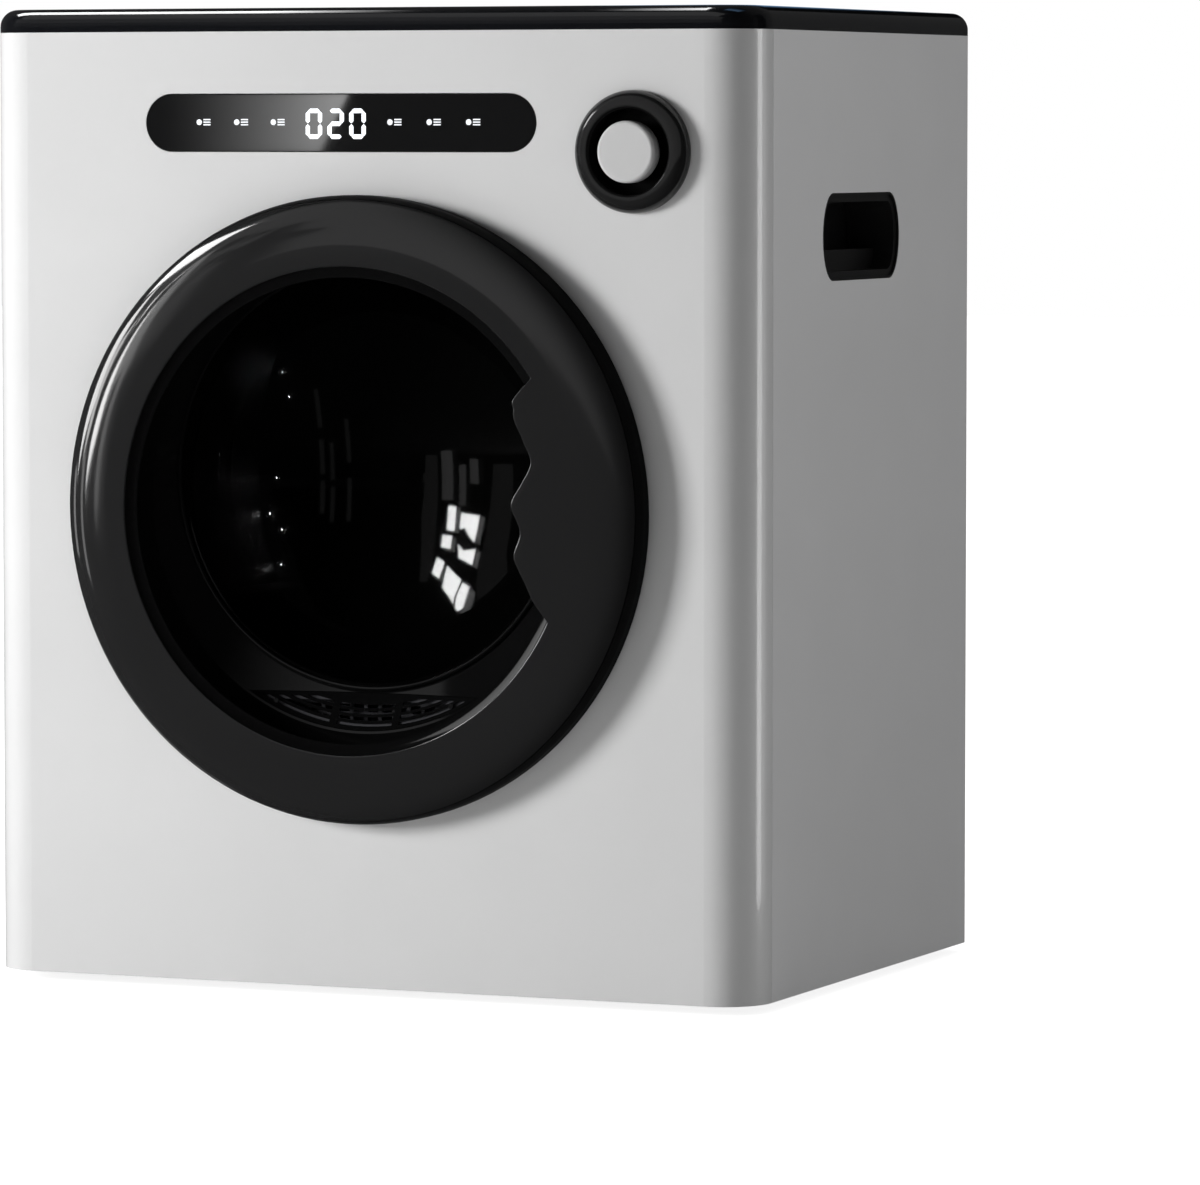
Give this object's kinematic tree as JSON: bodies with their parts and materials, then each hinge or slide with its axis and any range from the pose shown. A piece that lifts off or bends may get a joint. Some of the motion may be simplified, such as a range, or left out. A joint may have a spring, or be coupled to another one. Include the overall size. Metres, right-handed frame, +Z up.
{
  "type": "portable clothes dryer",
  "caption": "Compact front-loading tumble dryer with a round smoked-window door, side carry recesses, a display strip and a push-and-turn selector.",
  "frame": {"origin": "on the floor, under the middle of the whole object", "axes": "+X to the right as seen from the front, +Y from the door to the back, +Z up"},
  "size_m": [0.43, 0.348, 0.505],
  "materials": {
    "shell_white": "glossy moulded plastic",
    "side_paint": "powder coated steel",
    "rear_paint": "galvanised and coated",
    "lid_black": "high gloss black",
    "door_gloss": "gloss black",
    "door_satin": "satin black",
    "dish_black": "semi-gloss black",
    "smoked_clear": "smoked clear",
    "display_glass": "black glass",
    "display_light": "lit from behind",
    "bezel_black": "semi-gloss black",
    "cap_white": "satin white",
    "cup_black": "fine grain black",
    "grey_plastic": "moulded",
    "zinc_steel": "zinc coated sheet",
    "drum_steel": "brushed stainless",
    "machined_steel": "turned",
    "belt_rubber": "ribbed",
    "soft_rubber": "soft",
    "felt_grey": "felt",
    "motor_paint": "dark enamel",
    "fan_plastic": "glass filled",
    "board_green": "solder mask",
    "component_dark": "moulded",
    "fin_alloy": "plain",
    "bright_steel": "polished",
    "magnet_black": "sintered",
    "mesh_grey": "moulded mesh"
  },
  "bodies": {
    "root": {"front_shell": "shell_white", "left_side": "side_paint", "right_side": "side_paint", "rear_panel": "rear_paint", "intake_grille": "grey_plastic", "top_lid": "lid_black", "base_tray": "zinc_steel", "feet": "soft_rubber", "left_handle_cup": "cup_black", "right_handle_cup": "cup_black", "power_inlet": "component_dark", "display_window": "display_glass", "display_digits": "display_light", "display_icons": "display_light", "display_board": "board_green", "knob_bezel": "bezel_black", "encoder_body": "component_dark", "front_bulkhead": "fan_plastic", "front_felt": "felt_grey", "rear_bulkhead": "zinc_steel", "drum_bearing": "machined_steel", "drum_belt": "belt_rubber", "motor_body": "motor_paint", "motor_bracket": "zinc_steel", "fan_housing": "fan_plastic", "idler_spring": "bright_steel", "air_duct": "zinc_steel", "heater_frame": "grey_plastic", "heater_fins": "fin_alloy", "thermostat": "machined_steel", "control_board": "board_green", "board_parts": "component_dark", "latch_magnet": "magnet_black", "hinge_bracket": "machined_steel", "hinge_pin": "bright_steel", "rear_screws": "bright_steel", "frame_screws": "bright_steel"},
    "door": {"door_rim": "door_gloss", "door_trim": "door_satin", "door_dish": "dish_black", "door_bowl": "smoked_clear", "door_back": "dish_black", "door_gasket": "soft_rubber", "door_keeper": "zinc_steel", "hinge_leaf": "machined_steel"},
    "filter": {"filter_cover": "dish_black", "lint_filter": "mesh_grey", "filter_catches": "bright_steel"},
    "drum": {"drum_shell": "drum_steel", "drum_back": "drum_steel", "drum_lifters": "component_dark", "drum_axle": "machined_steel"},
    "rotor": {"rotor_shaft": "machined_steel", "motor_pulley": "machined_steel", "fan_impeller": "fan_plastic"},
    "idler_arm": {"idler_arm": "zinc_steel"},
    "idler_wheel": {"idler_wheel": "grey_plastic"},
    "selector": {"encoder_shaft": "machined_steel", "knob_spring": "bright_steel"},
    "selector_cap": {"knob_cap": "cap_white"}
  },
  "joints": [
    {"name": "door_hinge", "type": "hinge", "parent": "root", "child": "door", "pos_m": [-0.148, -0.167, 0.25], "axis": [0, 0, -1], "range_deg": [0, 115]},
    {"name": "filter_pull", "type": "slide", "parent": "door", "child": "filter", "axis": [0, -1, 0], "range_m": [0, 0.05]},
    {"name": "drum_spin", "type": "hinge", "parent": "root", "child": "drum", "pos_m": [0, -0.004, 0.258], "axis": [0, 1, 0], "continuous": true},
    {"name": "motor_spin", "type": "hinge", "parent": "root", "child": "rotor", "pos_m": [0.14, 0.026, 0.075], "axis": [0, 1, 0], "continuous": true},
    {"name": "idler_swing", "type": "hinge", "parent": "root", "child": "idler_arm", "pos_m": [0.031, -0.046, 0.04], "axis": [0, 1, 0], "range_deg": [0, 16], "stiffness_Nm_per_rad": 0.5, "springref_deg": -17.19, "deforming": ["idler_spring"]},
    {"name": "idler_spin", "type": "hinge", "parent": "idler_arm", "child": "idler_wheel", "pos_m": [0.06784, -0.055, 0.05958], "axis": [0, 1, 0], "continuous": true},
    {"name": "selector_turn", "type": "hinge", "parent": "root", "child": "selector", "pos_m": [0.151, -0.15, 0.432], "axis": [0, 1, 0], "continuous": true},
    {"name": "selector_press", "type": "slide", "parent": "selector", "child": "selector_cap", "axis": [0, 1, 0], "range_m": [0, 0.0015], "stiffness_N_per_m": 300, "springref_m": -0.002, "deforming": ["knob_spring"]}
  ],
  "couplings": [
    {"joint": "motor_spin", "follows": "drum_spin", "ratio": 22.25},
    {"joint": "idler_spin", "follows": "drum_spin", "ratio": -16.182}
  ]
}
